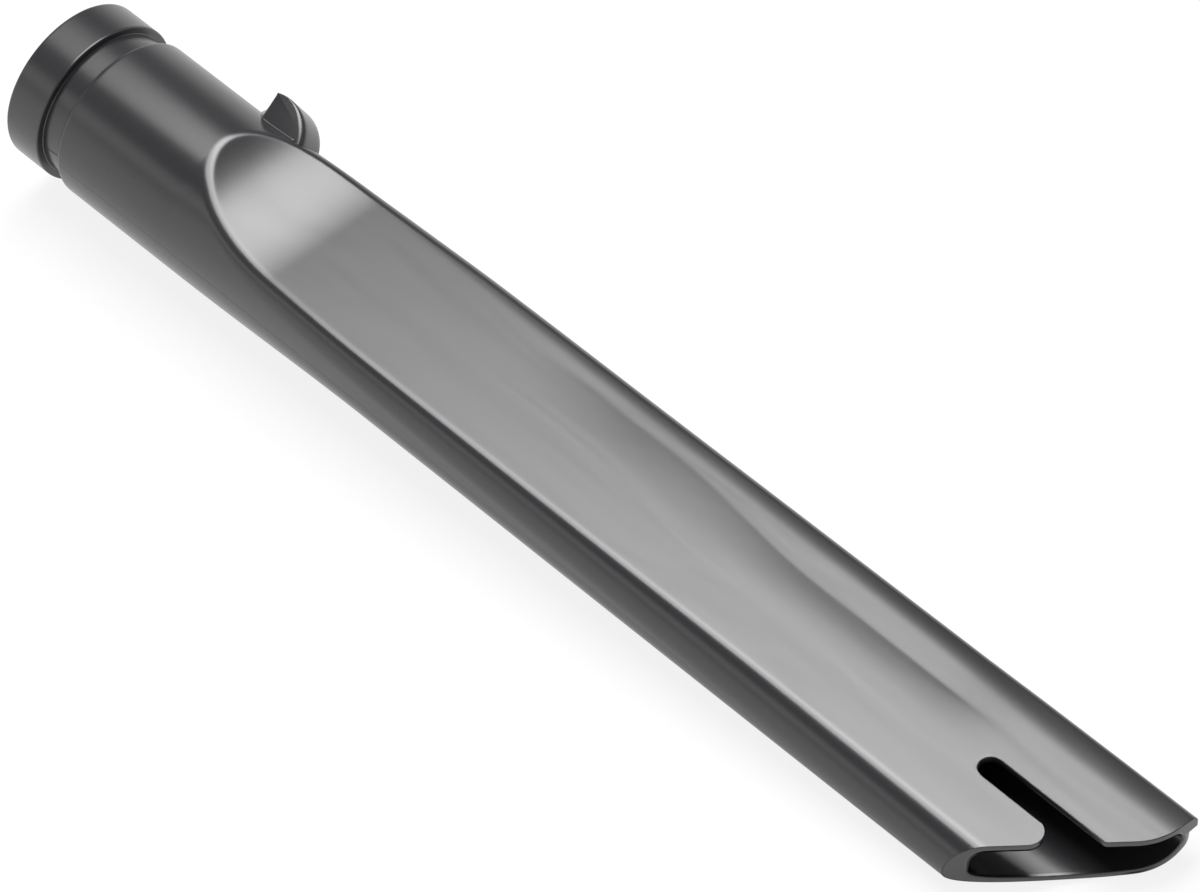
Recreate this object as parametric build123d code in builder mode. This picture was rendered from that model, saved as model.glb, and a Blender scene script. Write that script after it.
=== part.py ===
from build123d import *
from math import atan2, ceil, cos, radians, sin, sqrt, tan
import os

# Vacuum crevice tool: one hollow moulding, in millimetres.
# The origin is the centre of the socket's mouth. X runs along the tool to its tip, Y across its
# width and Z up, towards the side with the scooped face.

# Socket end
socket_bore = 32.0
socket_depth = 36.0
socket_lead_in = 0.8
stop_step = 1.2
tube_wall = 3.9
collar_rise = 0.1
collar_length = 10.2
collar_edge_radius = 0.4
neck_groove_depth = 1.7
neck_length = 6.1
shoulder_foot = 0.5

# Stations along the tool
overall_length = 324.0
scoop_start = 52.0
ramp_length = 32.0
transition_length = 66.0

# Blade
root_width = 41.6
tip_width = 45.2
face_height_root = 11.7
face_height_tip = 7.35
underside_root = 13.3
underside_tip = 3.6
root_crown_fullness = 0.66
tip_crown_fullness = 0.95
underside_fullness = 0.88
rim_radius = 3.5

# Walls
roof_wall = 1.9
floor_wall = 1.5
side_wall_root = 2.2
side_wall_tip = 4.4
airway_fullness = 0.62

# Tip
slant_angle = 41.1
square_end_width = 10.6
end_blend_radius = 15.0
lower_corner_radius = 5.0
parting_height_tip = 3.4
slot_width = 5.7
slot_length = 40.5
tab_radius = 3.8
slot_corner_radius = 1.5

# Catch lug on the side of the tube, turned up from the middle about the tool's axis
lug_angle = 30.0
lug_start = 48.4
lug_flat = 3.4
lug_reach = 25.9
lug_above = 7.0
lug_below = 2.0
lug_back_radius = 10.8

# Handle length of the quarter curve that is closest to a circle
ROUND = 4 * (sqrt(2) - 1) / 3

socket_radius = socket_bore / 2
airway_radius = socket_radius - stop_step
tube_radius = socket_radius + tube_wall
collar_radius = tube_radius + collar_rise
neck_radius = tube_radius - neck_groove_depth
neck_end = collar_length + neck_length
blade_root = scoop_start + transition_length
ramp_end = scoop_start + ramp_length
clear = 2 * tube_radius
station_step = scoop_start / 5
past_end = overall_length + 3 * station_step


def share_of(x, start, end):
    """How far x lies from start to end, from 0 to 1."""
    return min(max((x - start) / (end - start), 0.0), 1.0)


def eased(x, at_tube, at_root, at_tip):
    """A size that leaves the tube's smoothly and runs straight from the blade's root to the tip."""
    straight = at_root + (at_tip - at_root) * (x - blade_root) / (overall_length - blade_root)
    share = share_of(x, scoop_start, blade_root)
    return at_tube + (straight - at_tube) * share * share * (3 - 2 * share)


def face_height(x):
    """Height of the flat face at x."""
    drop = (face_height_root - face_height_tip) / (overall_length - ramp_end)
    return face_height_root - drop * (x - ramp_end)


def blade_section(x, radius, root_side, tip_side, root_depth, tip_depth, root_crown, tip_crown):
    """Section across the tool at x, of four quarter curves: round on the tube, fuller on the blade."""
    side = eased(x, radius, root_side, tip_side)
    depth = eased(x, radius, root_depth, tip_depth)
    crown = ROUND + (root_crown - ROUND) * share_of(x, scoop_start, blade_root)
    crown += (tip_crown - root_crown) * share_of(x, blade_root, overall_length)
    belly = ROUND + (underside_fullness - ROUND) * share_of(x, scoop_start, overall_length)
    with BuildSketch(Plane.YZ.offset(x)) as outline:
        with BuildLine():
            Bezier((side, 0), (side, radius * crown), (side * crown, radius), (0, radius))
            Bezier((0, radius), (-side * crown, radius), (-side, radius * crown), (-side, 0))
            Bezier((-side, 0), (-side, -depth * belly), (-side * belly, -depth), (0, -depth))
            Bezier((0, -depth), (side * belly, -depth), (side, -depth * belly), (side, 0))
        make_face()
    return outline.sketch


def above_face(depth):
    """Side profile of the room over the ramp and the flat face, lowered by depth."""
    rise = tube_radius - face_height_root
    face_slope = (face_height_root - face_height_tip) / (overall_length - ramp_end)
    rim_slope = 2 * atan2(rise, ramp_length) - face_slope
    rim = (scoop_start - depth * sin(rim_slope), tube_radius - depth * cos(rim_slope))
    with BuildSketch(Plane.XZ) as profile:
        with BuildLine():
            flat = Line((past_end, face_height(past_end) - depth), (ramp_end, face_height(ramp_end) - depth))
            ramp = TangentArc(flat @ 1, rim, tangent=flat % 1)
            above = ramp @ 1 + (ramp % 1) * clear
            Polyline(ramp @ 1, above, (past_end, above.Y), flat @ 0)
        make_face()
    return profile.sketch


# Even stations of the lofts, from the socket's mouth to beyond the tip
stations = [station_step * n for n in range(ceil(overall_length / station_step) + 2)]

# Plan of the end: slanted across the blade, then square at the lug's side
square_from = tip_width / 2 - square_end_width
slant = tan(radians(slant_angle))
with BuildSketch(Plane.XY) as end_cut:
    with BuildLine():
        Polyline(
            (overall_length - (square_from + clear) * slant, -clear),
            (overall_length, square_from),
            (overall_length, clear),
            (past_end + clear, clear),
            (past_end + clear, -clear),
            close=True,
        )
    make_face()
    fillet(end_cut.vertices().sort_by_distance((overall_length, square_from))[0], end_blend_radius)

# Plan of the slot in the roof, with its two mouth corners rounded
with BuildSketch(Plane.XY) as roof_cut:
    add(end_cut.sketch)
    slot_reach = slot_length + past_end - overall_length
    with Locations((past_end - slot_reach / 2, 0)):
        SlotOverall(slot_reach, slot_width)
    for edge_y, corner_radius in ((-slot_width / 2, tab_radius), (slot_width / 2, slot_corner_radius)):
        mouth = (overall_length - (square_from - edge_y) * slant, edge_y)
        fillet(roof_cut.vertices().sort_by_distance(mouth)[0], corner_radius)

# Plan of the lower half's rounded corner at the tip
with BuildSketch(Plane.XY.offset(parting_height_tip)) as lower_corner:
    with Locations((overall_length - lower_corner_radius, tip_width / 2 - lower_corner_radius)):
        Rectangle(clear, clear, align=(Align.MIN, Align.MIN))
        Circle(lower_corner_radius, mode=Mode.SUBTRACT)

# Catch lug: straight towards the socket, rounded away towards the tip
with BuildSketch(Plane.XY.rotated((lug_angle, 0, 0)).offset(-lug_below)) as lug_plan:
    with Locations((lug_start + lug_flat, lug_reach - lug_back_radius)):
        Circle(lug_back_radius)
    with Locations((lug_start, (socket_radius + tube_radius) / 2)):
        Rectangle(clear, clear, align=(Align.MIN, Align.MIN), mode=Mode.INTERSECT)

# Airway: from the socket's stop to the tip, its roof following the scoop
with BuildPart() as airway:
    for x in stations:
        add(
            blade_section(
                x,
                airway_radius,
                root_width / 2 - side_wall_root,
                tip_width / 2 - side_wall_tip,
                underside_root - floor_wall,
                underside_tip - floor_wall,
                airway_fullness,
                airway_fullness,
            )
        )
    loft()
    extrude(above_face(roof_wall), amount=clear, both=True, mode=Mode.SUBTRACT)

with BuildPart() as crevice_tool:
    # Outer form: the tube that flattens into the blade, with the scoop taken out of its top
    for x in stations:
        add(
            blade_section(
                x,
                tube_radius,
                root_width / 2,
                tip_width / 2,
                underside_root,
                underside_tip,
                root_crown_fullness,
                tip_crown_fullness,
            )
        )
    loft()
    extrude(above_face(0), amount=clear, both=True, mode=Mode.SUBTRACT)
    rim = crevice_tool.edges().filter_by(
        lambda edge: edge.bounding_box().min.Z > 0 and edge.bounding_box().size.X > ramp_length / 2
    )
    fillet(rim, rim_radius)
    extrude(lug_plan.sketch, amount=lug_above + lug_below)

    # Collar and neck groove
    with BuildSketch(Plane.YZ):
        Circle(collar_radius)
    extrude(amount=collar_length)
    with BuildSketch(Plane.XZ):
        with Locations((collar_length, neck_radius)):
            Rectangle(neck_length, clear, align=(Align.MIN, Align.MIN))
    revolve(axis=Axis.X, mode=Mode.SUBTRACT)
    rings = crevice_tool.edges().filter_by(lambda edge: edge.bounding_box().size.X < collar_edge_radius)
    rim_level = (neck_radius + tube_radius) / 2
    outer_rings = rings.filter_by(lambda edge: edge.distance_to((edge.center().X, 0, 0)) > rim_level)
    rear_ring, front_ring, tube_ring = outer_rings.sort_by(Axis.X)[:3]
    fillet(tube_ring, neck_groove_depth - shoulder_foot)
    fillet((rear_ring, front_ring), collar_edge_radius)

    # Socket and airway
    add(airway.part, mode=Mode.SUBTRACT)
    with BuildSketch(Plane.YZ):
        Circle(socket_radius)
    extrude(amount=socket_depth, mode=Mode.SUBTRACT)
    mouth_edge = crevice_tool.edges().filter_by_position(Axis.X, 0, 0).sort_by(SortBy.LENGTH)[0]
    chamfer(mouth_edge, socket_lead_in)

    # Tip
    extrude(end_cut.sketch, amount=clear, both=True, mode=Mode.SUBTRACT)
    extrude(roof_cut.sketch, amount=clear, mode=Mode.SUBTRACT)
    extrude(lower_corner.sketch, amount=-clear, mode=Mode.SUBTRACT)

crevice_tool.part.label = "crevice_tool"
os.makedirs("parts", exist_ok=True)
export_step(crevice_tool.part, "parts/crevice_tool.step")
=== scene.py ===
import logging
from collections.abc import Sequence
from dataclasses import dataclass, field
from enum import Enum
from math import cos, pi, radians, sin, sqrt, tan

import bpy
import numpy as np
from mathutils import Matrix, Vector


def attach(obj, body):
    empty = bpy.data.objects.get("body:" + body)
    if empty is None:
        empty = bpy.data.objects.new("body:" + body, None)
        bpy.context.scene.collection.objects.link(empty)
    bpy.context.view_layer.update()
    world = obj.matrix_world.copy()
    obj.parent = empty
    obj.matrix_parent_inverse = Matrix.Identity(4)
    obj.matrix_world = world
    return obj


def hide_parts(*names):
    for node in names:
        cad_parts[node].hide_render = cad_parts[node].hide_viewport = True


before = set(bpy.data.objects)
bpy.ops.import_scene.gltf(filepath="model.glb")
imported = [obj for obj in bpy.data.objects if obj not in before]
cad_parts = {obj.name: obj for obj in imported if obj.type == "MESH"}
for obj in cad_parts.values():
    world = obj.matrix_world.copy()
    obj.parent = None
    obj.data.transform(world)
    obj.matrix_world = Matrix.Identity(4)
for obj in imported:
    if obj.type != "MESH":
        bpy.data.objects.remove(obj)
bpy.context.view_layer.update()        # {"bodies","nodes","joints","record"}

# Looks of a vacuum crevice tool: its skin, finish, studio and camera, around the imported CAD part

MM = 0.001
NODE = "crevice_tool"
BODY = "root"
ROUND = 4 * (sqrt(2) - 1) / 3
RAYS = 1441
HALVINGS = 40
END_SEARCHES = 30

Array = np.ndarray
notes = logging.getLogger(NODE)


class Side(Enum):
    """Which surface of the hollow moulding a form describes."""

    OUTER = "outer"
    INNER = "inner"


class BoxShape(Enum):
    """Form of a softbox's face."""

    OVAL = "ELLIPSE"
    STRIP = "RECTANGLE"


class Edge(Enum):
    """Which cut of the tip a point of its edge loop lies on."""

    SLOT = 0
    ROOF_END = 1
    LOWER_END = 2


def share(x: Array | float, start: Array | float, end: Array | float) -> Array:
    """How far x lies from start to end, from 0 to 1."""
    return np.clip((np.asarray(x, float) - start) / (end - start), 0.0, 1.0)


def smooth(t: Array | float) -> Array:
    """A share that leaves 0 and reaches 1 with no slope."""
    return t * t * (3 - 2 * t)


def power_of(fullness: Array | float) -> Array:
    """Power of the rounded outline that is as full as a quarter curve with that handle length."""
    return np.log(0.5) / np.log(0.5 + 0.375 * fullness)


def closing_in(count: int, power: float) -> Array:
    """Shares of a length as a column, each closer to the last, without the one at the start."""
    return (1 - (1 - np.linspace(0, 1, count)) ** power)[1:, None]


def add_object(name: str, data: bpy.types.ID, placed: Matrix | None = None) -> bpy.types.Object:
    """Makes an object and links it to the scene.

    Args:
        name: the object's name.
        data: its mesh, curve, light or camera.
        placed: where it stands, if not at the origin.

    Returns:
        The object.
    """
    made = bpy.data.objects.new(name, data)
    if placed is not None:
        made.matrix_world = placed
    bpy.context.scene.collection.objects.link(made)
    return made


def facing(place: Vector, back: Vector) -> Matrix:
    """Where a lamp or a camera stands at a place, with its back towards a direction."""
    return Matrix.Translation(place) @ back.to_track_quat("Z", "Y").to_matrix().to_4x4()


def add_node(tree: bpy.types.NodeTree, kind: str, values: dict[str | int, object] | None = None,
             **options: str) -> bpy.types.Node:
    """Adds a node to a tree.

    Args:
        tree: the node tree.
        kind: the node's type.
        values: values of its inputs, by name or number.
        options: its own options, which are set first.

    Returns:
        The node.
    """
    made = tree.nodes.new(kind)
    for option, choice in options.items():
        setattr(made, option, choice)
    for socket, value in (values or {}).items():
        made.inputs[socket].default_value = value
    return made


def wire(tree: bpy.types.NodeTree, links: Sequence[tuple]) -> None:
    """Links the nodes of a tree, each link given as node, output, node and input."""
    for start, output, end, socket in links:
        tree.links.new(start.outputs[output], end.inputs[socket])


def round_corner(centre: tuple[float, float], radius: float, first: float, last: float, count: int) -> Array:
    """Points of an arc in a profile.

    Args:
        centre: the arc's centre, along and out.
        radius: its radius.
        first: angle of its first point, in degrees from along towards out.
        last: angle of its last point.
        count: how many points.

    Returns:
        One row a point, along and out.
    """
    angle = np.radians(np.linspace(first, last, count))
    return np.column_stack((centre[0] + radius * np.cos(angle), centre[1] + radius * np.sin(angle)))


@dataclass(frozen=True)
class Lengthwise:
    """Stations along the tool, in millimetres.

    Args:
        scoop_start: where the scoop leaves the tube's top.
        ramp_length: length of the scoop's curved ramp.
        blade_root: where the section has become the blade's.
        belly_from: where the lower half starts to fill out.
        corner_from: where the lower corner on the lug's side starts to slant.
        length: whole length of the tool.
    """

    scoop_start: float = 52.0
    ramp_length: float = 32.0
    blade_root: float = 118.0
    belly_from: float = 110.0
    corner_from: float = 262.0
    length: float = 324.0

    def eased(self, x: Array | float, at_tube: float, at_root: float, at_tip: float) -> Array:
        """A size along the tool.

        Args:
            x: the stations.
            at_tube: the size on the tube, which it leaves smoothly.
            at_root: the size at the blade's root, from where it runs straight.
            at_tip: the size at the tip.

        Returns:
            The size at each station.
        """
        straight = at_root + (at_tip - at_root) * (x - self.blade_root) / (self.length - self.blade_root)
        return at_tube + (straight - at_tube) * smooth(share(x, self.scoop_start, self.blade_root))


@dataclass(frozen=True)
class Scoop:
    """The ramp and the flat face that are cut into the tube's top.

    Args:
        along: stations of the tool.
        tube_radius: height at which the ramp starts.
        height_root: height of the face at the ramp's foot.
        height_tip: height of the face at the tip.
        near_rims: radius of the blade's rim away from the lug, at its root and at the tip.
        far_rims: the same on the lug's side.
        ramp_rims: radius of the rim round the ramp, away from the lug and on its side.
        airway_rim: radius of the airway's upper corners.
        shoulder_from: where the face starts to fall towards the lug's side.
        shoulder_widening: how much earlier it starts at the tip.
        shoulder_fall: how far it has fallen at the edge.
        crease_root: where the face's sink ends, towards the ramp.
        crease_tip: where it ends towards the tip.
        crease_fall: depth of the sink.
        crease_span: stations where the sink starts, is whole, starts to fade and has gone.
        crease_run: stations between which the sink's end moves across.
        face_lead: how far before the ramp's foot the shoulder starts.
        face_run: how far after the ramp's foot it is whole.
        widening_run: stations between which it widens.
        shoulder_end: where across the shoulder ends.
        rim_run: stations between which the ramp's rim becomes the blade's.
        rims_settled: stations where the blade's rims have their size at the tip.
        rims_meet: how far from the middle the two sides' rims blend.
        steepest: the ramp's last point, as a share of its radius.
    """

    along: Lengthwise
    tube_radius: float = 19.9
    height_root: float = 11.7
    height_tip: float = 7.35
    near_rims: tuple[float, float] = (5.4, 8.0)
    far_rims: tuple[float, float] = (4.2, 1.9)
    ramp_rims: tuple[float, float] = (4.8, 3.2)
    airway_rim: float = 3.2
    shoulder_from: float = 15.0
    shoulder_widening: float = 1.3
    shoulder_fall: float = 0.75
    crease_root: float = 12.6
    crease_tip: float = 8.9
    crease_fall: float = 0.22
    crease_span: tuple[float, float, float, float] = (130.0, 170.0, 262.0, 284.0)
    crease_run: tuple[float, float] = (180.0, 225.0)
    face_lead: float = 12.0
    face_run: float = 24.0
    widening_run: tuple[float, float] = (250.0, 290.0)
    shoulder_end: float = 22.0
    rim_run: tuple[float, float] = (60.0, 100.0)
    rims_settled: tuple[float, float] = (230.0, 306.0)
    rims_meet: float = 8.0
    steepest: float = 0.9

    @property
    def ramp_end(self) -> float:
        """Station of the ramp's foot."""
        return self.along.scoop_start + self.along.ramp_length

    @property
    def slope(self) -> float:
        """Fall of the face per millimetre of length."""
        return (self.height_root - self.height_tip) / (self.along.length - self.ramp_end)

    def profile(self, x: Array | float) -> tuple[Array, Array]:
        """The scoop's floor along the tool.

        Args:
            x: the stations.

        Returns:
            Its height, and the cosine of its slope.
        """
        x = np.asarray(x, float)
        rise = self.tube_radius - self.height_root
        unit = sqrt(1 + self.slope**2)
        reach = (-self.along.ramp_length * self.slope + rise) / unit
        radius = (self.along.ramp_length**2 + rise**2) / (2 * reach)
        centre_x = self.ramp_end + radius * self.slope / unit
        centre_z = self.height_root + radius / unit
        across = np.clip(centre_x - x, 0, self.steepest * radius)
        deep = np.sqrt(radius**2 - across**2)
        on_ramp = x < self.ramp_end
        height = np.where(on_ramp, centre_z - deep, self.height_root - self.slope * (x - self.ramp_end))
        return height, np.where(on_ramp, deep / radius, 1 / unit)

    def fall(self, x: Array, y: Array) -> Array:
        """How far the face lies below its middle at a place, from its sink and its shoulder."""
        begin, whole, fading, gone = self.crease_span
        crease = self.crease_root + (self.crease_tip - self.crease_root) * smooth(share(x, *self.crease_run))
        strength = smooth(share(x, begin, whole)) * (1 - smooth(share(x, fading, gone)))
        sink = self.crease_fall * strength * share(y, 0.0, crease) ** 2
        on_face = smooth(share(x, self.ramp_end - self.face_lead, self.ramp_end + self.face_run))
        shoulder = self.shoulder_from - self.shoulder_widening * smooth(share(x, *self.widening_run))
        return sink + self.shoulder_fall * on_face * share(y, shoulder, self.shoulder_end) ** 2

    def gap(self, x: Array, y: Array, z: Array, lowered: float) -> tuple[Array, Array]:
        """Distance above the scoop's floor.

        Args:
            x: stations of the places.
            y: where they are across.
            z: their heights.
            lowered: how far the floor is lowered, by the roof's wall for the airway.

        Returns:
            The distance, below zero under the floor, and the cosine of the floor's slope.
        """
        height, cosine = self.profile(x)
        return (z - height + self.fall(x, y)) * cosine + lowered, cosine

    def rim(self, x: Array, y: Array) -> Array:
        """Radius of the rim at a place."""
        on_blade = smooth(share(x, *self.rim_run))
        sides = []
        both_sides = zip(self.ramp_rims, (self.near_rims, self.far_rims), self.rims_settled)
        for ramp, (root, tip), settled in both_sides:
            blade = root + (tip - root) * share(x, self.rim_run[1], settled)
            sides.append(ramp + (blade - ramp) * on_blade)
        return sides[0] + (sides[1] - sides[0]) * smooth(share(y, -self.rims_meet, self.rims_meet))


@dataclass(frozen=True)
class Form:
    """One surface of the moulding as a rule: where it is, round the tool's middle line, at any station.

    Args:
        side: the outer or the inner surface.
        along: stations of the tool.
        scoop: the scoop in its top.
        radius: radius on the tube.
        half_widths: half-width at the blade's root and at the tip.
        depths: depth below the middle at the blade's root and at the tip.
        crowns: fullness of the upper half at the root and at the tip, on the lug's side.
        near_crowns: the same on the other side.
        belly: fullness of the lower half at the tip.
        corner: fullness of the slanted lower corner, on the lug's side at the tip.
        corner_height: height from which that corner slants.
        roof_wall: how far the roof lies below the scoop's floor.
        middles: height of the middle line at the root and at the tip.
        rim_fade: upward part of the wall's direction at which its rim is gone, and at which it is whole.
        sharpest: cosine of the sharpest turn that is rounded.
    """

    side: Side
    along: Lengthwise
    scoop: Scoop
    radius: float
    half_widths: tuple[float, float]
    depths: tuple[float, float]
    crowns: tuple[float, float]
    near_crowns: tuple[float, float]
    belly: float = 0.76
    corner: float = 0.55
    corner_height: float = 3.4
    roof_wall: float = 0.0
    middles: tuple[float, float] = (-1.1, 1.9)
    rim_fade: tuple[float, float] = (-0.9, -0.1)
    sharpest: float = 0.98

    def middle(self, x: Array | float) -> Array:
        """Height of the line that the section's rays start from."""
        return self.along.eased(x, 0.0, *self.middles)

    def wall(self, x: Array, y: Array, z: Array) -> tuple[Array, Array]:
        """Distance from the moulding's wall, as if the scoop weren't cut.

        Args:
            x: stations of the places.
            y: where they are across.
            z: their heights.

        Returns:
            The distance, below zero inside, and the upward part of the wall's direction there.
        """
        along = self.along
        slanted = np.where(y > 0, smooth(share(x, along.corner_from, along.length)), 0.0)
        start = self.corner_height * slanted
        low = z < start
        a = along.eased(x, self.radius, *self.half_widths)
        b = np.where(low, along.eased(x, self.radius, *self.depths) + start, self.radius)
        root = np.where(y > 0, self.crowns[0], self.near_crowns[0])
        tip = np.where(y > 0, self.crowns[1], self.near_crowns[1])
        crown = ROUND + (root - ROUND) * share(x, along.scoop_start, along.blade_root)
        crown = crown + (tip - root) * share(x, along.blade_root, along.length)
        belly = ROUND + (self.belly - ROUND) * share(x, along.belly_from, along.length)
        belly = belly + (self.corner - belly) * slanted
        n = power_of(np.where(low, belly, crown))
        u = np.abs(y) / a
        v = np.abs(z - np.where(low, start, 0.0)) / b
        g = np.maximum(u**n + v**n, 1e-12) ** (1 / n)
        out_y, out_z = u ** (n - 1) / a, v ** (n - 1) / b
        steep = np.maximum(np.hypot(out_y, out_z), 1e-9)
        distance = (g - 1) / np.maximum(g ** (1 - n) * steep, 1e-6)
        return distance, np.where(low, -1.0, 1.0) * out_z / steep

    def field(self, x: Array, y: Array, z: Array) -> Array:
        """Distance from the surface, with the rim rounded where the scoop meets the wall.

        Args:
            x: stations of the places.
            y: where they are across.
            z: their heights.

        Returns:
            The distance, below zero inside the surface.
        """
        wall, wall_up = self.wall(x, y, z)
        floor, floor_up = self.scoop.gap(x, y, z, self.roof_wall)
        r = self.scoop.rim(x, y) if self.side is Side.OUTER else np.full_like(wall, self.scoop.airway_rim)
        r = r * smooth(share(wall_up, *self.rim_fade))
        turn = np.clip(wall_up * floor_up, -self.sharpest, self.sharpest)
        f, g = r + wall, r + floor
        between = (f > g * turn) & (g > f * turn)
        rounded = np.sqrt(np.maximum(f * f + g * g - 2 * f * g * turn, 0) / (1 - turn**2)) - r
        return np.where(between, rounded, np.maximum(wall, floor))

    def outline(self, x: float) -> tuple[Array, Array, Array]:
        """Finely spaced section at a station: angles of rays from -90 degrees round to 270, their y and z."""
        angle = np.linspace(-pi / 2, 3 * pi / 2, RAYS)
        dy, dz = np.cos(angle), np.sin(angle)
        low, high = np.zeros(RAYS), np.full(RAYS, 2 * self.radius)
        mid_z = float(self.middle(x))
        station = np.full(RAYS, x)
        for _ in range(HALVINGS):
            half = (low + high) / 2
            inside = self.field(station, half * dy, mid_z + half * dz) < 0
            low, high = np.where(inside, half, low), np.where(inside, high, half)
        return angle, half * dy, mid_z + half * dz


@dataclass(frozen=True)
class TipPlan:
    """Plan of the tip: slanted, then square at the lug's side, with the slot in its roof.

    Args:
        along: stations of the tool.
        half_width: half the blade's width at the tip.
        slant: slope of the slanted end, along per across.
        square_width: width of the square part.
        blend: radius between the two.
        corner: radius of the lower half's corner.
        slot_half: half the slot's width.
        slot_length: length of the slot from the tip.
        tab_radius: radius of the slot's mouth corner away from the lug.
        mouth_radius: radius of its other mouth corner.
    """

    along: Lengthwise
    half_width: float = 22.6
    slant: float = tan(radians(41.1))
    square_width: float = 10.6
    blend: float = 15.0
    corner: float = 4.0
    slot_half: float = 2.85
    slot_length: float = 40.5
    tab_radius: float = 3.8
    mouth_radius: float = 1.5

    @property
    def slot_round(self) -> float:
        """Station where the slot's sides end and its round closed end starts."""
        return self.along.length - self.slot_length + self.slot_half

    def end(self, y: Array | float) -> Array:
        """Station of the end at y, without the slot."""
        y = np.asarray(y, float)
        square_from = self.half_width - self.square_width
        line = self.along.length - (square_from - y) * self.slant
        angle = np.arctan(self.slant)
        centre_y = square_from + self.blend * tan(angle / 2)
        centre_x = self.along.length - self.blend
        arc = centre_x + np.sqrt(np.maximum(self.blend**2 - (centre_y - y) ** 2, 0))
        slanted = np.where(y > centre_y - self.blend * sin(angle), arc, line)
        return np.where(y > centre_y, self.along.length, slanted)

    def lower_end(self, y: Array | float) -> Array:
        """Station of the lower half's end at y, with its rounded corner."""
        over = np.clip(np.asarray(y, float) - (self.half_width - self.corner), 0, self.corner)
        return self.end(y) - self.corner + np.sqrt(self.corner**2 - over**2)

    def roof_end(self, y: Array | float) -> Array:
        """Station of the roof's end at y, with the slot's mouth corners rounded."""
        y = np.asarray(y, float)
        end = self.end(y)
        hyp = sqrt(1 + self.slant**2)
        for sign, r in ((-1, self.tab_radius), (1, self.mouth_radius)):
            centre_y = sign * (self.slot_half + r)
            centre_x = float(self.end(centre_y)) - r * hyp
            last = centre_y - r * self.slant / hyp
            arc = centre_x + np.sqrt(np.maximum(r**2 - (y - centre_y) ** 2, 0))
            if sign < 0:
                near = (y <= -self.slot_half + 1e-6) & (y > last)
            else:
                near = (y >= self.slot_half - 1e-6) & (y < last)
            end = np.where(near, arc, end)
        return end

    def closed_end(self, y: Array | float) -> Array:
        """Station of the slot's closed end at y."""
        y = np.clip(np.asarray(y, float), -self.slot_half, self.slot_half)
        return self.slot_round - np.sqrt(self.slot_half**2 - y**2)


@dataclass(frozen=True)
class Columns:
    """How the points of a section are shared out, so that every ring of the skin has the same ones.

    Args:
        upper: spaces from a parting line up to the slot's edge.
        middle: spaces across the slot's width.
        lower: spaces from parting line to parting line underneath.
        split: height of the strip between the two halves.
        crowding: how much closer the points lie at the slot's edge.
        bend_weight: how many millimetres a turn of one radian counts for.
        crowd_reach: how far from the slot's edge the points crowd, in millimetres.
        far_parting: height of the parting line on the lug's side, at the root and at the tip.
        near_parting: the same on the other side.
    """

    upper: int = 66
    middle: int = 14
    lower: int = 76
    split: float = 0.1
    crowding: float = 4.0
    bend_weight: float = 7.0
    crowd_reach: float = 1.2
    far_parting: tuple[float, float] = (0.6, 3.4)
    near_parting: tuple[float, float] = (0.6, 1.1)

    @property
    def count(self) -> int:
        """Points in a ring."""
        return 2 * (self.upper + 1) + self.middle - 1 + self.lower + 1

    @property
    def right_slot(self) -> int:
        """Column on the slot's edge at the lug's side."""
        return self.upper

    @property
    def left_slot(self) -> int:
        """Column on the slot's other edge."""
        return self.upper + self.middle

    @property
    def left_parting(self) -> int:
        """Last column of the upper half."""
        return self.left_slot + self.upper

    def parting(self, x: float, along: Lengthwise) -> tuple[float, float]:
        """Height of the parting line at x, on the lug's side and on the other."""
        return float(along.eased(x, 0.0, *self.far_parting)), float(along.eased(x, 0.0, *self.near_parting))

    def spread(self, form: Form, x: float, slot_half: float) -> Array:
        """The points of one ring.

        Args:
            form: the surface.
            x: the station.
            slot_half: half the slot's width.

        Returns:
            An array of y and z, one row a column.
        """
        angle, y, z = form.outline(x)
        step = np.hypot(np.diff(y), np.diff(z))
        heading = np.unwrap(np.arctan2(np.diff(z), np.diff(y)))
        turn = np.abs(np.diff(heading, prepend=heading[0]))
        near_slot = np.minimum(np.abs(y - slot_half), np.abs(y + slot_half))[1:]
        crowd = np.where(z[1:] > 0, self.crowding * np.exp(-near_slot / self.crowd_reach), 0.0)
        weight = np.concatenate(([0.0], np.cumsum(step * (1 + crowd) + self.bend_weight * turn)))

        right_z, left_z = self.parting(x, form.along)
        right_half = (angle > -pi / 4) & (angle < pi / 3)
        left_half = (angle > 2 * pi / 3) & (angle < 5 * pi / 4)
        top = (angle > pi / 8) & (angle < 7 * pi / 8)
        bottom_right = np.interp(right_z - self.split, z[right_half], angle[right_half])
        right = np.interp(right_z, z[right_half], angle[right_half])
        left = np.interp(-left_z, -z[left_half], angle[left_half])
        bottom_left = np.interp(self.split - left_z, -z[left_half], angle[left_half])

        def along_ring(first: float, last: float, spaces: int) -> Array:
            """Angles from first to last, in even steps of weight."""
            ends = np.interp([first, last], angle, weight)
            return np.interp(np.linspace(ends[0], ends[1], spaces + 1), weight, angle)

        across = slot_half * np.cos(np.linspace(0, pi, self.middle + 1))
        over_slot = np.interp(-across, -y[top], angle[top])
        ring_right = along_ring(right, over_slot[0], self.upper)
        ring_left = along_ring(over_slot[-1], left, self.upper)
        wrap_weight = weight[-1]
        first = np.interp(bottom_left, angle, weight)
        last = np.interp(bottom_right, angle, weight) + wrap_weight
        below = np.interp(
            np.linspace(first, last, self.lower + 1),
            np.concatenate((weight, weight[1:] + wrap_weight)),
            np.concatenate((angle, angle[1:] + 2 * pi)),
        )
        below = np.where(below > 3 * pi / 2, below - 2 * pi, below)
        angles = np.concatenate((ring_right, over_slot[1:-1], ring_left, below))
        return np.column_stack((np.interp(angles, angle, y), np.interp(angles, angle, z)))


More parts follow.
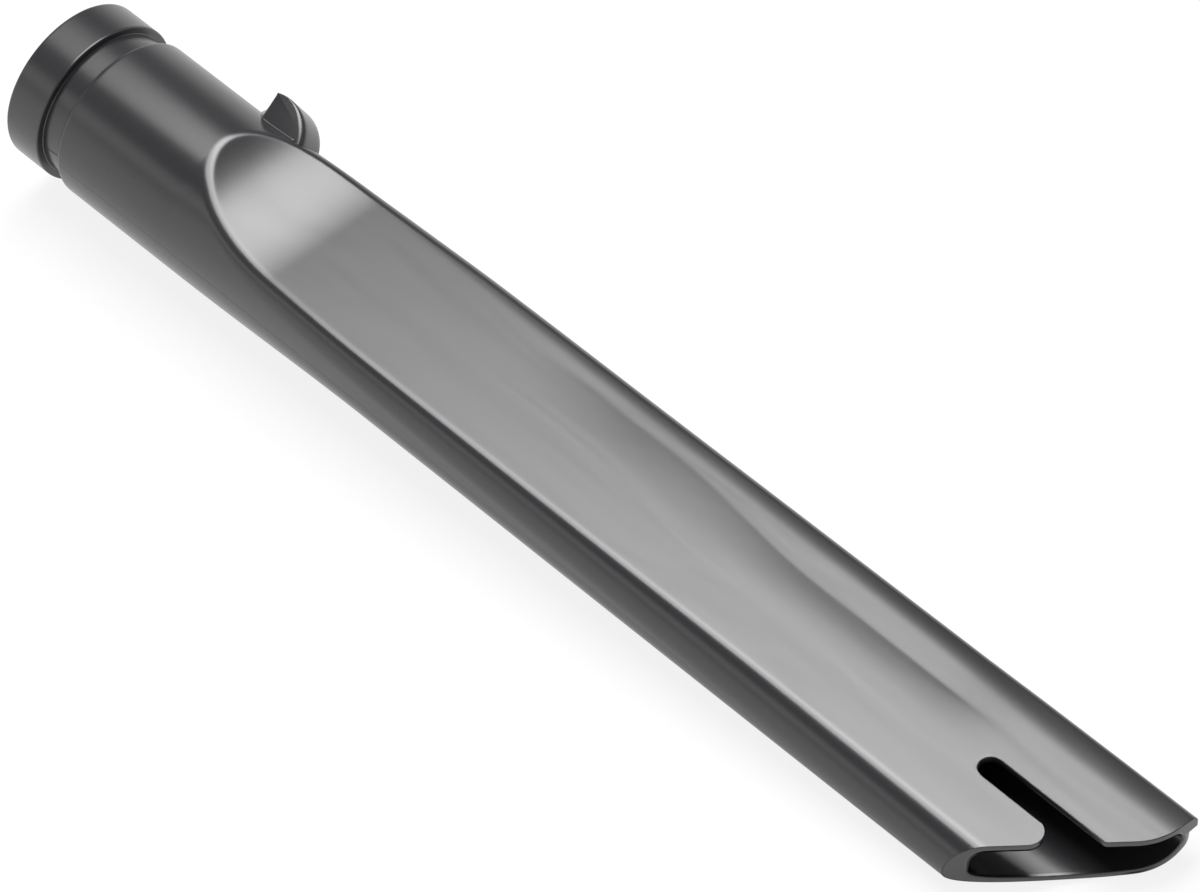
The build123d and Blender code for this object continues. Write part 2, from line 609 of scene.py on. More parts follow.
@dataclass
class MeshBuilder:
    """Collects points and faces of one mesh, in millimetres.

    Args:
        points: blocks of points.
        faces: blocks of quads.
        total: how many points there are.
    """

    points: list[Array] = field(default_factory=list)
    faces: list[Array] = field(default_factory=list)
    total: int = 0

    def add(self, block: Array) -> Array:
        """Adds a block of points.

        Args:
            block: the points, with x, y and z along its last side.

        Returns:
            Their numbers, in the block's own shape.
        """
        flat = np.asarray(block, float).reshape(-1, 3)
        numbers = np.arange(self.total, self.total + len(flat)).reshape(block.shape[:-1])
        self.points.append(flat)
        self.total += len(flat)
        return numbers

    def strip(self, rows: Array, closed: bool = False, flip: bool = False) -> None:
        """Adds the quads of a grid of point numbers.

        Args:
            rows: point numbers, one row a ring.
            closed: whether each row closes on itself.
            flip: whether the faces turn the other way.
        """
        if closed:
            rows = np.concatenate((rows, rows[:, :1]), axis=1)
        a, b, c, d = rows[:-1, :-1], rows[:-1, 1:], rows[1:, 1:], rows[1:, :-1]
        quads = np.stack((a, d, c, b) if flip else (a, b, c, d), axis=-1).reshape(-1, 4)
        self.faces.append(quads)

    def finish(self, name: str, length: float, sharp: float = 38.0) -> bpy.types.Object:
        """Makes the object, in metres, shaded smooth but for its sharp edges.

        Args:
            name: the object's name.
            length: the station that no point passes.
            sharp: the angle past which an edge is sharp, in degrees.

        Returns:
            The object.
        """
        mesh = bpy.data.meshes.new(name)
        points = np.concatenate(self.points)
        points[:, 0] = np.clip(points[:, 0], 0.0, length)
        mesh.from_pydata((points * MM).tolist(), [], np.concatenate(self.faces).tolist())
        mesh.validate()
        mesh.shade_smooth()
        mesh.set_sharp_from_angle(angle=radians(sharp))
        return add_object(name, mesh)


@dataclass(frozen=True)
class EdgeLoop:
    """The cut edge of one surface at the tip.

    Args:
        points: where the edge would be, unrounded.
        normals: direction of the cut face in plan.
        numbers: numbers of the points that the surface ends with.
        kind: the cut that each point lies on, as values of Edge.
    """

    points: Array
    normals: Array
    numbers: Array
    kind: Array


@dataclass
class ToolSkin:
    """The whole hollow moulding as one closed skin.

    Args:
        along: stations of the tool.
        plan: plan of the tip.
        columns: how each ring's points are shared out.
        outer_edge: radius of the rounding on the tip's cut edges, outside.
        inner_edge: the same, on the airway's side.
        tube_radius: radius of the tube.
        airway_radius: radius of the airway behind the socket.
        roof_wall: thickness of the roof.
        collar_radius: radius of the collar.
        collar_length: length of the collar.
        collar_edge: radius of its edge.
        neck_radius: radius of the neck groove.
        neck_end: station where the groove ends.
        shoulder: radius of the tube's shoulder at the groove.
        socket_radius: radius of the socket's bore.
        socket_depth: depth of the bore.
        lead_in: size of the bore's lead-in.
        tip_from: station where the tip's own columns start.
        line_inset: how far out the parting line's path lies, as a share of the body's half-width.
        table_step: spacing of the rings from which the tip is read.
        table_over: how far those rings go past the end.
    """

    along: Lengthwise
    plan: TipPlan
    columns: Columns
    outer_edge: float = 0.3
    inner_edge: float = 0.7
    tube_radius: float = 19.9
    airway_radius: float = 14.8
    roof_wall: float = 1.9
    collar_radius: float = 20.0
    collar_length: float = 10.2
    collar_edge: float = 0.4
    neck_radius: float = 18.2
    neck_end: float = 16.3
    shoulder: float = 1.2
    socket_radius: float = 16.0
    socket_depth: float = 36.0
    lead_in: float = 0.8
    tip_from: float = 268.0
    line_inset: float = 0.996
    table_step: float = 1.5
    table_over: float = 5.0

    def __post_init__(self) -> None:
        """Sets up both surfaces and the mesh."""
        scoop = Scoop(self.along)
        self.outer = Form(
            Side.OUTER, self.along, scoop, self.tube_radius, half_widths=(20.8, 22.6), depths=(13.3, 3.6),
            crowns=(0.80, 0.95), near_crowns=(0.90, 0.97),
        )
        self.inner = Form(
            Side.INNER, self.along, scoop, self.airway_radius, half_widths=(18.6, 18.2), depths=(11.8, 2.1),
            crowns=(0.62, 0.7), near_crowns=(0.62, 0.7), roof_wall=self.roof_wall,
        )
        self.builder = MeshBuilder()

    def table(self, form: Form, stations: Array) -> Array:
        """Rings at the stations, as an array of station, column and x, y, z."""
        rings = np.empty((len(stations), self.columns.count, 3))
        for k, x in enumerate(stations):
            rings[k, :, 0] = x
            rings[k, :, 1:] = self.columns.spread(form, float(x), self.plan.slot_half)
        return rings

    def at(self, table: Array, x: Array, column: Array) -> Array:
        """Points of a surface at any station of a column.

        Args:
            table: evenly spaced rings of the surface.
            x: the stations.
            column: the column of each.

        Returns:
            The points, read between the table's rings.
        """
        stations = table[:, 0, 0]
        place = np.clip((x - stations[0]) / (stations[1] - stations[0]), 0, len(stations) - 1.001)
        low = place.astype(int)
        part = (place - low)[..., None]
        found = table[low, column] * (1 - part) + table[low + 1, column] * part
        found[..., 0] = x
        return found

    def column_ends(self, table: Array) -> Array:
        """Station where each column meets the end cut."""
        columns = np.arange(self.columns.count)
        upper = columns <= self.columns.left_parting
        x = np.full(self.columns.count, self.along.length - 12.0)
        for _ in range(END_SEARCHES):
            y = self.at(table, x, columns)[:, 1]
            x = (x + np.where(upper, self.plan.roof_end(y), self.plan.lower_end(y))) / 2
        return x

    def tip(self, form: Form, numbers: Array, edge: float, flip: bool) -> EdgeLoop:
        """Builds one surface of the tip, from its first ring to the slot and the end cut.

        Args:
            form: the surface.
            numbers: point numbers of the ring that it starts from.
            edge: radius of the rounding on its cut edges.
            flip: whether its faces turn the other way.

        Returns:
            Its edge loop.
        """
        cols = self.columns
        table = self.table(form, np.arange(self.tip_from, self.along.length + self.table_over, self.table_step))
        ends = self.column_ends(table)
        index = np.arange(cols.count)
        y_top = self.at(table, np.full(cols.count, self.plan.slot_round), index)[:, 1]
        on_slot = (index >= cols.right_slot) & (index <= cols.left_slot)
        stop = np.where(on_slot, self.plan.closed_end(y_top), self.plan.slot_round)

        x_a = self.tip_from + closing_in(11, 1.5) * (stop - self.tip_from)[None, :]
        block_a = self.at(table, x_a, np.broadcast_to(index, x_a.shape))
        closed_normal = np.array([self.plan.slot_round, 0.0])[None, :] - block_a[-1, :, :2]
        closed_normal = closed_normal / np.maximum(np.linalg.norm(closed_normal, axis=1), 1e-9)[:, None]

        outside = np.concatenate((np.arange(cols.left_slot, cols.count), np.arange(0, cols.right_slot + 1)))
        x_b = self.plan.slot_round + closing_in(15, 2.2) * (ends[outside] - self.plan.slot_round)[None, :]
        block_b = self.at(table, x_b, np.broadcast_to(outside, x_b.shape))

        upper = outside <= cols.left_parting
        y_end = block_b[-1, :, 1]

        def rule(y: Array) -> Array:
            """Station of each column's own half's end."""
            return np.where(upper, self.plan.roof_end(y), self.plan.lower_end(y))

        slope = (rule(y_end + 0.02) - rule(y_end - 0.02)) / 0.04
        end_normal = np.column_stack((np.ones_like(slope), -slope))
        end_normal = end_normal / np.linalg.norm(end_normal, axis=1)[:, None]
        end_normal[outside == cols.left_slot] = [0, 1]
        end_normal[outside == cols.right_slot] = [0, -1]

        # Pull the surface back from its cut edges by the rounding's radius
        edge_a = block_a[-1].copy()
        edge_b = block_b[-1].copy()
        side_left, side_right = block_b[:, 0].copy(), block_b[:, -1].copy()
        block_a[-1, on_slot, :2] -= edge * closed_normal[on_slot]
        block_b[-1, :, :2] -= edge * end_normal
        block_b[:-1, 0, 1] -= edge
        block_b[:-1, -1, 1] += edge

        a = self.builder.add(block_a)
        self.builder.strip(np.concatenate((numbers[None, :], a)), closed=True, flip=flip)
        b = self.builder.add(block_b)
        self.builder.strip(np.concatenate((a[-1, outside][None, :], b)), flip=flip)

        middle = np.arange(cols.right_slot, cols.left_slot + 1)
        left_normal = np.tile([0.0, 1.0], (len(side_left) - 1, 1))
        right_normal = np.tile([0.0, -1.0], (len(side_right) - 1, 1))
        kind = np.concatenate((
            np.full(len(middle) + len(left_normal), Edge.SLOT.value),
            np.where(upper, Edge.ROOF_END.value, Edge.LOWER_END.value),
            np.full(len(right_normal), Edge.SLOT.value),
        ))
        return EdgeLoop(
            points=np.concatenate((edge_a[middle], side_left[:-1], edge_b, side_right[:-1][::-1])),
            normals=np.concatenate((closed_normal[middle], left_normal, end_normal, right_normal)),
            numbers=np.concatenate((a[-1, middle], b[:-1, 0], b[-1], b[:-1, -1][::-1])),
            kind=kind,
        )

    def rounding(self, loop: EdgeLoop, edge: float, outward: float) -> Array:
        """Adds the rounding from a surface's edge onto the cut face.

        Args:
            loop: the edge loop.
            edge: the rounding's radius.
            outward: 1 for the outer surface, -1 for the inner.

        Returns:
            Point numbers of the rows, from the surface to the cut face.
        """
        points = loop.points
        normal = np.column_stack((loop.normals, np.zeros(len(points))))
        tangent = np.roll(points, -1, axis=0) - np.roll(points, 1, axis=0)
        across = np.cross(tangent, normal)
        across = across / np.maximum(np.linalg.norm(across, axis=1), 1e-9)[:, None]
        middle = np.column_stack((points[:, 0], points[:, 1] * 0.75, self.outer.middle(points[:, 0])))
        sign = np.sign(np.einsum("ij,ij->i", across, points - middle))
        across = across * (sign * outward)[:, None]
        rows = [loop.numbers]
        for angle in np.linspace(0, pi / 2, 5)[1:]:
            swept = cos(angle) * across + sin(angle) * normal
            rows.append(self.builder.add(points + edge * (swept - normal - across)))
        return np.stack(rows)

    def revolved(self, profile: Array, angles: Array) -> Array:
        """Rings of a round profile of stations and radii, with the given column angles."""
        block = np.empty((len(profile), len(angles), 3))
        block[..., 0] = profile[:, :1]
        block[..., 1] = profile[:, 1:] * np.cos(angles)[None, :]
        block[..., 2] = profile[:, 1:] * np.sin(angles)[None, :]
        return block

    def socket_profile(self) -> Array:
        """Profile of the socket, from the stop out to the mouth."""
        bore, depth, airway = self.socket_radius, self.socket_depth, self.airway_radius
        stop = [(depth + 0.3, airway), (depth + 0.1, airway + 0.03), (depth, airway + 0.15)]
        stop += [(depth, airway + 0.5), (depth, bore - 0.3)]
        bottom = [(depth - 0.1, bore - 0.08), (depth - 0.3, bore), (depth - 1, bore), (20.0, bore)]
        mouth = [(1.4, bore), (1.0, bore), (self.lead_in, bore + 0.02), (self.lead_in - 0.1, bore + 0.1)]
        flare = bore + self.lead_in
        lead = [(0.12, flare - 0.12), (0.02, flare), (0.0, flare + 0.2)]
        return np.array(stop + bottom + mouth + lead)

    def collar_profile(self) -> Array:
        """Profile of the mouth's face, the collar, the neck groove and the tube's shoulder."""
        radius, length, neck, edge = self.collar_radius, self.collar_length, self.neck_radius, self.collar_edge
        face = [(0.0, self.socket_radius + 2.0), (0.0, radius - edge - 0.2)]
        wall = [(0.7, radius), (5.0, radius), (length - 0.6, radius)]
        groove = [(length, radius - 0.6), (length, neck + 0.4), (length, neck + 0.15), (length + 0.15, neck)]
        groove += [(station, neck) for station in (length + 0.4, 13.0, self.neck_end - 0.3, self.neck_end - 0.06)]
        step = [(self.neck_end, neck + 0.08), (self.neck_end, neck + 0.3), (self.neck_end, neck + 0.46)]
        turn = round_corner(
            (self.neck_end + self.shoulder, self.tube_radius - self.shoulder), self.shoulder, 180, 90, 7
        )
        return np.concatenate((
            face, round_corner((edge, radius - edge), edge, 180, 90, 5),
            wall, round_corner((length - 0.3, radius - 0.3), 0.3, 90, 0, 5),
            groove, step, turn,
        ))

    def build(self) -> bpy.types.Object:
        """Makes the skin, with whatever else its builder already holds."""
        make = self.builder
        tube_end = self.neck_end + self.shoulder
        runs = ((tube_end + 0.4, 44, 8), (45, 62, 40), (62.6, 92, 36), (94, self.tip_from, 62))
        outer_x = np.concatenate([np.linspace(*run) for run in runs])
        runs = ((self.socket_depth + 1, 50, 5), (54, self.tip_from, 50))
        inner_x = np.concatenate([np.linspace(*run) for run in runs])
        outer = self.table(self.outer, outer_x)
        inner = self.table(self.inner, inner_x)
        outer_angle = np.arctan2(outer[0, :, 2], outer[0, :, 1])
        inner_angle = np.arctan2(inner[0, :, 2], inner[0, :, 1])

        inner_rows = make.add(inner)
        bore_rows = make.add(self.revolved(self.socket_profile(), inner_angle))
        collar_rows = make.add(self.revolved(self.collar_profile(), outer_angle))
        outer_rows = make.add(outer)
        make.strip(np.concatenate((inner_rows[::-1], bore_rows, collar_rows, outer_rows)), closed=True)

        outer_loop = self.tip(self.outer, outer_rows[-1], self.outer_edge, flip=False)
        inner_loop = self.tip(self.inner, inner_rows[-1], self.inner_edge, flip=True)
        outer_round = self.rounding(outer_loop, self.outer_edge, 1.0)
        inner_round = self.rounding(inner_loop, self.inner_edge, -1.0)
        points = np.concatenate(make.points)
        first, last = points[outer_round[-1]], points[inner_round[-1]]
        clear_of_slot = self.plan.slot_half + self.plan.tab_radius + 3
        between = []
        for t in (0.08, 0.36, 0.64, 0.92):
            wall = first + t * (last - first)
            roof = outer_loop.kind == Edge.ROOF_END.value
            end = np.where(roof, self.plan.end(wall[:, 1]), self.plan.lower_end(wall[:, 1]))
            on_end = (outer_loop.kind != Edge.SLOT.value) & (np.abs(wall[:, 1]) > clear_of_slot)
            wall[:, 0] = np.where(on_end, end, wall[:, 0])
            between.append(make.add(wall))
        face = np.concatenate((outer_round, np.stack(between), inner_round[::-1]))
        make.strip(face, closed=True)
        return make.finish("moulding", self.along.length)

    def parting_lines(self) -> list[Array]:
        """Paths of the moulding's parting line, on the neck and on the body, at both sides."""
        cols = self.columns
        body_x = np.linspace(20, self.along.length - 0.2, 150)
        body_x = np.concatenate(([self.neck_end + self.shoulder], body_x))
        rings = self.table(self.outer, body_x)
        lines = []
        for column in (0, cols.left_parting):
            line = rings[:, column] * (1.0, self.line_inset, 1.0)
            end = self.plan.lower_end(line[:, 1]) - 0.4
            lines.append(line[line[:, 0] < end])
            side = np.sign(line[0, 1])
            neck_x = np.linspace(self.collar_length + 0.3, self.neck_end - 0.1, 4)
            lines.append(np.column_stack((neck_x, np.full(4, side * self.neck_radius), np.zeros(4))))
        return lines


@dataclass(frozen=True)
class CatchLug:
    """The catch lug: a fin on the tube's side, turned up about the tool's axis.

    Args:
        turn: how far it is turned up from the middle, in degrees.
        start: station of its straight side.
        flat: how far along its highest point lies.
        reach: how far it stands from the tool's axis.
        above: how far its near face lies above its own middle plane.
        below: how far its other face lies below that plane.
        back: radius of its rounded back.
        root: how deep its foot sits in the tube's wall.
        foot: how far from the axis its near face leaves the tube.
        lean: how far the straight side of the near face leans at the foot.
        facet: how far the foot of the straight side runs towards the socket, down from the near face.
        facet_depth: how deep that facet goes.
        edge: radius of its edges.
        back_edge: radius of the near face's edge at the rounded back.
        back_edge_run: shares of the outline between which that edge grows to it.
        points: how many points the outline has.
        foot_length: length of the fillet at its foot.
        foot_points: how many points its path has.
    """

    turn: float = 30.0
    start: float = 48.4
    flat: float = 3.4
    reach: float = 25.9
    above: float = 7.0
    below: float = 2.0
    back: float = 10.8
    root: float = 17.2
    foot: float = 18.6
    lean: float = 0.9
    facet: float = 6.2
    facet_depth: float = 6.3
    edge: float = 0.25
    back_edge: float = 1.5
    back_edge_run: tuple[float, float] = (0.32, 0.72)
    points: int = 52
    foot_length: float = 10.5
    foot_points: int = 30

    def placed(self, local: Array) -> Array:
        """Points given along, out and up of the lug, turned to their place on the tool."""
        a = radians(self.turn)
        along, out, up = local[..., 0], local[..., 1], local[..., 2]
        return np.stack((along, out * cos(a) - up * sin(a), out * sin(a) + up * cos(a)), axis=-1)

    def outline(self, inset: Array, depth: Array) -> Array:
        """Outline of the lug at a level.

        Args:
            inset: how far each point is drawn in.
            depth: how far each point lies below the near face.

        Returns:
            One row a point, along and out.
        """
        centre_x, centre_out = self.start + self.flat, self.reach - self.back
        first = np.arcsin(-self.flat / self.back)
        last = np.arccos((self.root - centre_out) / self.back)
        apex = centre_out + self.back * cos(first)
        side = np.linspace(self.root, apex, 13)[:-1]
        to_foot = share(side, apex, self.foot)
        run = self.facet * share(depth[: len(side)], 0, self.facet_depth)
        straight = np.column_stack((self.start + to_foot * (self.lean - run) + inset[: len(side)], side))
        angle = np.linspace(first, last, len(inset) - len(side))
        r = self.back - inset[len(side):]
        arc = np.column_stack((centre_x + r * np.sin(angle), centre_out + r * np.cos(angle)))
        return np.concatenate((straight, arc))

    def build(self, builder: MeshBuilder) -> None:
        """Adds the lug's closed skin to a builder."""
        along = np.linspace(0, 1, self.points)
        top_edge = self.edge + (self.back_edge - self.edge) * smooth(share(along, *self.back_edge_run))
        low_edge = np.full(self.points, self.edge)
        levels = []
        for angle in np.linspace(0, pi / 2, 5)[::-1]:
            up = -self.below + low_edge * (1 - sin(angle))
            levels.append((low_edge * (1 - cos(angle)), up))
        for part in (0.2, 0.4, 0.6, 0.8):
            low, high = -self.below + low_edge, self.above - top_edge
            levels.append((np.zeros(self.points), low + part * (high - low)))
        for angle in np.linspace(0, pi / 2, 8):
            levels.append((top_edge * (1 - cos(angle)), self.above - top_edge * (1 - sin(angle))))
        rows = []
        for inset, up in levels:
            plan = self.outline(inset, self.above - up)
            rows.append(self.placed(np.column_stack((plan, up))))
        numbers = builder.add(np.stack(rows))
        builder.strip(numbers, closed=True, flip=True)
        for row, flip in ((numbers[-1], True), (numbers[0], False)):
            half = len(row) // 2
            builder.strip(np.stack((row[:half], row[::-1][:half])), flip=flip)

    def foot_line(self, form: Form) -> Array:
        """Path along which the near face meets the tube.

        Args:
            form: the moulding's outer surface.

        Returns:
            The path's points.
        """
        first = self.start + self.lean
        along = np.linspace(first, first + self.foot_length, self.foot_points)
        low, high = np.full_like(along, form.radius / 2), np.full_like(along, self.reach)
        for _ in range(HALVINGS):
            out = (low + high) / 2
            points = self.placed(np.column_stack((along, out, np.full_like(along, self.above))))
            inside = form.field(points[:, 0], points[:, 1], points[:, 2]) < 0
            low, high = np.where(inside, out, low), np.where(inside, high, out)
        return points


@dataclass(frozen=True)
class SweptLines:
    """Fine raised lines of the moulding, swept by geometry nodes along paths on its skin.

    Args:
        width: radius of the parting line's bead, in millimetres.
        foot_width: how many times wider the fillet at the lug's foot is.
        sides: corners of the bead's round section.
    """

    width: float = 0.11
    foot_width: float = 4.0
    sides: int = 10

    def paths(self, lines: Sequence[Array], foot: Array) -> bpy.types.Object:
        """Makes the paths, with each point's share of the bead's width as its radius.

        Args:
            lines: the parting lines.
            foot: the line along the lug's foot.

        Returns:
            A curve object.
        """
        curve = bpy.data.curves.new("line_paths", "CURVE")
        curve.dimensions = "3D"
        for line, width in [(line, 1.0) for line in lines] + [(foot, self.foot_width)]:
            spline = curve.splines.new("POLY")
            spline.points.add(len(line) - 1)
            ends = np.minimum(1.0, np.linspace(0, 20, len(line)) + 0.3)
            taper = np.minimum(ends, ends[::-1]) if width > 1 else np.ones(len(line))
            for point, place, share_of in zip(spline.points, line * MM, taper):
                point.co = (*place, 1.0)
                point.radius = width * share_of
        return add_object("line_paths", curve)

    def tree(self) -> bpy.types.NodeTree:
        """Builds the node tree: sweep a bead along the paths, join it to the skin, and set the finish."""
        tree = bpy.data.node_groups.new("moulding_lines", "GeometryNodeTree")
        for name, kind in (
            ("Skin", "Geometry"), ("Paths", "Object"), ("Bead Radius", "Float"), ("Bead Sides", "Int"),
            ("Finish", "Material"),
        ):
            tree.interface.new_socket(name, in_out="INPUT", socket_type="NodeSocket" + kind)
        tree.interface.new_socket("Moulding", in_out="OUTPUT", socket_type="NodeSocketGeometry")
        given, result = add_node(tree, "NodeGroupInput"), add_node(tree, "NodeGroupOutput")
        paths, circle, width, soft, both, real, finish = (add_node(tree, "GeometryNode" + kind) for kind in (
            "ObjectInfo", "CurvePrimitiveCircle", "InputRadius", "SetShadeSmooth", "JoinGeometry",
            "RealizeInstances", "SetMaterial",
        ))
        sweep = add_node(tree, "GeometryNodeCurveToMesh", {"Fill Caps": True})
        wire(tree, (
            (given, "Paths", paths, "Object"),
            (given, "Bead Radius", circle, "Radius"),
            (given, "Bead Sides", circle, "Resolution"),
            (paths, "Geometry", sweep, "Curve"),
            (circle, "Curve", sweep, "Profile Curve"),
            (width, "Radius", sweep, "Scale"),
            (sweep, "Mesh", soft, "Geometry"),
            (soft, "Geometry", both, "Geometry"),
            (given, "Skin", both, "Geometry"),
            (both, "Geometry", real, "Geometry"),
            (real, "Geometry", finish, "Geometry"),
            (given, "Finish", finish, "Material"),
            (finish, "Geometry", result, "Moulding"),
        ))
        return tree

    def apply(self, skin: bpy.types.Object, paths: bpy.types.Object, finish: bpy.types.Material,
              name: str) -> bpy.types.Object:
        """Runs the tree on the skin and makes its result a plain mesh.

        Args:
            skin: the moulding's skin, which the result takes the place of.
            paths: the curve object with the lines' paths, which is used up.
            finish: the material of the whole moulding.
            name: name of the finished piece.

        Returns:
            The finished piece.
        """
        modifier = skin.modifiers.new("moulding_lines", "NODES")
        modifier.node_group = self.tree()
        values = {"Paths": paths, "Bead Radius": self.width * MM, "Bead Sides": self.sides, "Finish": finish}
        for item in modifier.node_group.interface.items_tree:
            if item.name in values:
                modifier[item.identifier] = values[item.name]
        evaluated = skin.evaluated_get(bpy.context.evaluated_depsgraph_get())
        mesh = bpy.data.meshes.new_from_object(evaluated)
        mesh.name = name
        skin.modifiers.remove(modifier)
        for used in (skin, paths):
            bpy.data.objects.remove(used)
        return add_object(name, mesh)


@dataclass(frozen=True)
class PlasticFinish:
    """Finish of a moulded plastic, on Object coordinates.

    Args:
        name: name of the material.
        colour: base colour, linear.
        roughness: how dull the skin is.
        variation: how much its dullness varies.
        ior: its index of refraction.
        flow_stretch: how much longer than wide the flow marks are.
        flow_size: flow marks per metre, across.
        flow_depth: height of the flow marks, in metres.
        grain_size: grains per metre.
        grain_depth: height of the fine grain, in metres.
        tones: the darkest and lightest tone, as shares of the colour.
    """

    name: str
    colour: tuple[float, float, float]
    roughness: float
    variation: float
    ior: float = 1.7
    flow_stretch: float = 5.0
    flow_size: float = 90.0
    flow_depth: float = 0.00006
    grain_size: float = 900.0
    grain_depth: float = 0.0000012
    tones: tuple[float, float] = (0.9, 1.1)

    def make(self) -> bpy.types.Material:
        """Builds the node material."""
        material = bpy.data.materials.new(self.name)
        material.use_nodes = True
        tree = material.node_tree
        shader = tree.nodes["Principled BSDF"]
        shader.inputs["IOR"].default_value = self.ior
        coords = add_node(tree, "ShaderNodeTexCoord")
        stretch = add_node(tree, "ShaderNodeMapping", {"Scale": (1 / self.flow_stretch, 1, 1)})
        flow = add_node(tree, "ShaderNodeTexNoise", {
            "Scale": self.flow_size, "Detail": 2.0, "Roughness": 0.4, "Distortion": 0.6,
        })
        dull = add_node(tree, "ShaderNodeMapRange", {
            "From Min": 0.1, "From Max": 0.9,
            "To Min": self.roughness - self.variation, "To Max": self.roughness + self.variation,
        })
        darkest, lightest = [(*[c * tone for c in self.colour], 1) for tone in self.tones]
        tone = add_node(tree, "ShaderNodeMix", {"A": darkest, "B": lightest}, data_type="RGBA")
        grain = add_node(tree, "ShaderNodeTexNoise", {"Scale": self.grain_size, "Detail": 1.0})
        marks = add_node(tree, "ShaderNodeBump", {"Distance": self.flow_depth})
        bump = add_node(tree, "ShaderNodeBump", {"Distance": self.grain_depth})
        wire(tree, (
            (coords, "Object", stretch, "Vector"),
            (stretch, "Vector", flow, "Vector"),
            (flow, "Fac", dull, "Value"),
            (dull, "Result", shader, "Roughness"),
            (flow, "Fac", tone, "Factor"),
            (tone, "Result", shader, "Base Color"),
            (coords, "Object", grain, "Vector"),
            (flow, "Fac", marks, "Height"),
            (grain, "Fac", bump, "Height"),
            (marks, "Normal", bump, "Normal"),
            (bump, "Normal", shader, "Normal"),
        ))
        return material


@dataclass(frozen=True)
class Softbox:
    """A soft light with a rounded or a rectangular face.

    Args:
        name: its name.
        place: where its middle is, in metres.
        aim: the point that it faces.
        size: its width and height, in metres.
        radiance: how bright its face is.
        shape: the form of its face.
    """

    name: str
    place: tuple[float, float, float]
    aim: tuple[float, float, float]
    size: tuple[float, float]
    radiance: float
    shape: BoxShape

    def make(self) -> None:
        """Makes the light."""
        light = bpy.data.lights.new(self.name, "AREA")
        light.shape = self.shape.value
        light.size, light.size_y = self.size
        full = pi if self.shape is BoxShape.STRIP else pi * pi / 4
        light.energy = self.radiance * self.size[0] * self.size[1] * full
        place = Vector(self.place)
        add_object(self.name, light, facing(place, place - Vector(self.aim)))


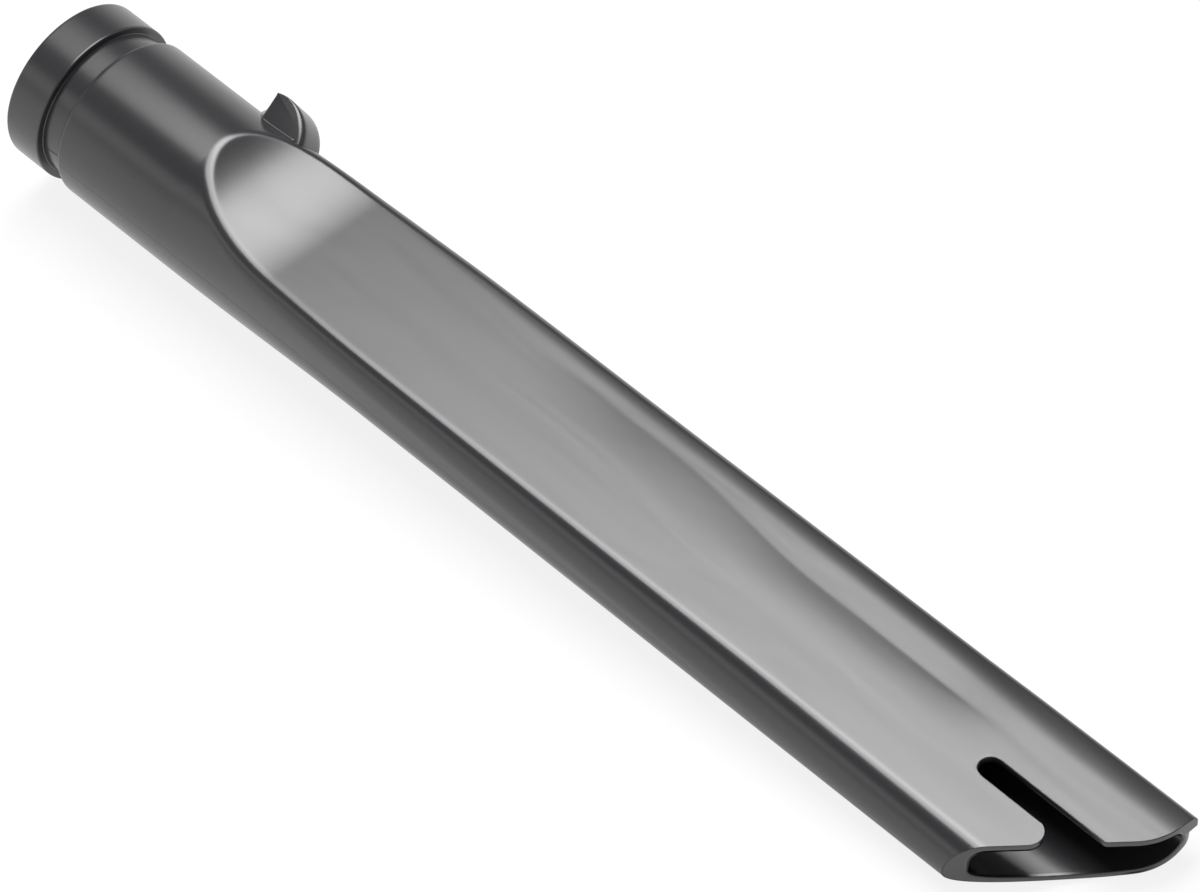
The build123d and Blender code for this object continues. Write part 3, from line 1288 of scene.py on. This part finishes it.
@dataclass(frozen=True)
class Studio:
    """Floor, light and camera.

    Args:
        target: the point that the camera looks at.
        azimuth: the camera's direction, in degrees from +X.
        elevation: its height, in degrees.
        distance: its distance, in metres.
        lens: its focal length for a 36 mm sensor.
        floor_tilt: slope of the table under the tool as it comes to rest, in degrees.
        floor_at: a point of the table, where the tube rests on it.
        floor_white: share of the table that is plain white to the camera.
        horizon: light from the room's low part.
        overhead: light from its high part.
        high_part: how high that part starts, as the sine of its height.
        floor_half: half the table's side, in metres.
    """

    target: tuple[float, float, float] = (0.169289, 0.000485, 0.013168)
    azimuth: float = -44.056
    elevation: float = 48.48
    distance: float = 1.745494
    lens: float = 36.0 * 8182.854 / 1200.0
    floor_tilt: float = 3.45
    floor_at: tuple[float, float, float] = (0.062, 0.0, -0.01985)
    floor_white: float = 0.85
    horizon: float = 1.0
    overhead: float = 0.25
    high_part: float = 0.45
    floor_half: float = 3.0

    def camera(self) -> None:
        """Makes the camera at the photograph's angle."""
        data = bpy.data.cameras.new("camera")
        data.lens = self.lens
        data.sensor_width = 36.0
        data.clip_end = 50.0
        a, e = radians(self.azimuth), radians(self.elevation)
        back = Vector((cos(e) * cos(a), cos(e) * sin(a), sin(e)))
        eye = add_object("camera", data, facing(Vector(self.target) + back * self.distance, back))
        bpy.context.scene.camera = eye

    def floor_finish(self) -> bpy.types.Material:
        """Makes the table's material: pale, and partly plain white to the camera, so its shadow is faint."""
        material = bpy.data.materials.new("pale_table")
        material.use_nodes = True
        tree = material.node_tree
        shader = tree.nodes["Principled BSDF"]
        pale = {"Base Color": (0.93, 0.93, 0.93, 1), "Roughness": 0.9, "Specular IOR Level": 0.0}
        for socket, value in pale.items():
            shader.inputs[socket].default_value = value
        path = add_node(tree, "ShaderNodeLightPath")
        white = add_node(tree, "ShaderNodeEmission")
        seen = add_node(tree, "ShaderNodeMath", operation="MAXIMUM")
        amount = add_node(tree, "ShaderNodeMath", {1: self.floor_white}, operation="MULTIPLY")
        mixed = add_node(tree, "ShaderNodeMixShader")
        wire(tree, (
            (path, "Is Camera Ray", seen, 0),
            (path, "Is Glossy Ray", seen, 1),
            (seen, "Value", amount, 0),
            (amount, "Value", mixed, "Fac"),
            (shader, "BSDF", mixed, 1),
            (white, "Emission", mixed, 2),
            (mixed, "Shader", tree.nodes["Material Output"], "Surface"),
        ))
        return material

    def floor(self) -> None:
        """Makes the table that the tool lies on."""
        mesh = bpy.data.meshes.new("floor")
        half = self.floor_half
        corners = [(-half, -half, 0), (half, -half, 0), (half, half, 0), (-half, half, 0)]
        mesh.from_pydata(corners, [], [(0, 1, 2, 3)])
        tilted = Matrix.Translation(self.floor_at) @ Matrix.Rotation(-radians(self.floor_tilt), 4, "Y")
        plane = add_object("floor", mesh, tilted)
        mesh.materials.append(self.floor_finish())

    def world(self) -> None:
        """Makes the room: white to the camera, light at the horizon and darker overhead for the tool."""
        world = bpy.data.worlds.new("room")
        bpy.context.scene.world = world
        world.use_nodes = True
        tree = world.node_tree
        background = tree.nodes["Background"]
        background.inputs["Color"].default_value = (1, 1, 1, 1)
        coords = add_node(tree, "ShaderNodeTexCoord")
        parts = add_node(tree, "ShaderNodeSeparateXYZ")
        level = add_node(tree, "ShaderNodeMapRange", {
            "From Min": 0.0, "From Max": self.high_part, "To Min": self.horizon, "To Max": self.overhead,
        }, interpolation_type="SMOOTHSTEP")
        path = add_node(tree, "ShaderNodeLightPath")
        seen = add_node(tree, "ShaderNodeMix", {"B": 1.0}, data_type="FLOAT")
        wire(tree, (
            (coords, "Generated", parts, "Vector"),
            (parts, "Z", level, "Value"),
            (path, "Is Camera Ray", seen, "Factor"),
            (level, "Result", seen, "A"),
            (seen, "Result", background, "Strength"),
        ))

    def build(self) -> None:
        """Makes everything round the tool."""
        self.camera()
        self.floor()
        self.world()
        for box in (
            Softbox("key", (-0.225, 0.2, 1.06), (-0.225, 0.2, 0.0), (0.72, 0.94), 6.1, BoxShape.STRIP),
            Softbox("key_middle", (-0.12, 0.42, 1.07), (-0.12, 0.42, 0.0), (0.6, 0.72), 3.0, BoxShape.OVAL),
            Softbox("low_strip", (-0.45, -1.0, 0.55), (0.17, 0.0, 0.0), (0.9, 0.3), 0.8, BoxShape.STRIP),
        ):
            box.make()
        bpy.context.scene.view_settings.view_transform = "Standard"


def main() -> None:
    """Builds the looks and hands them to the frame."""
    logging.basicConfig(level=logging.INFO)
    along = Lengthwise()
    skin = ToolSkin(along, TipPlan(along), Columns())
    lug = CatchLug()
    lug.build(skin.builder)
    moulding = skin.build()
    notes.info("skin and catch lug: %d points", len(moulding.data.vertices))
    lines = SweptLines()
    paths = lines.paths(skin.parting_lines(), lug.foot_line(skin.outer))
    finish = PlasticFinish("iron_grey_plastic", (0.020, 0.020, 0.0222), 0.25, 0.03)
    tool = lines.apply(moulding, paths, finish.make(), "tool_body")
    notes.info("tool_body with its swept lines: %d points", len(tool.data.vertices))
    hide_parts(NODE)
    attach(tool, BODY)
    Studio().build()
    notes.info("studio ready")


if __name__ == "__main__":
    main()
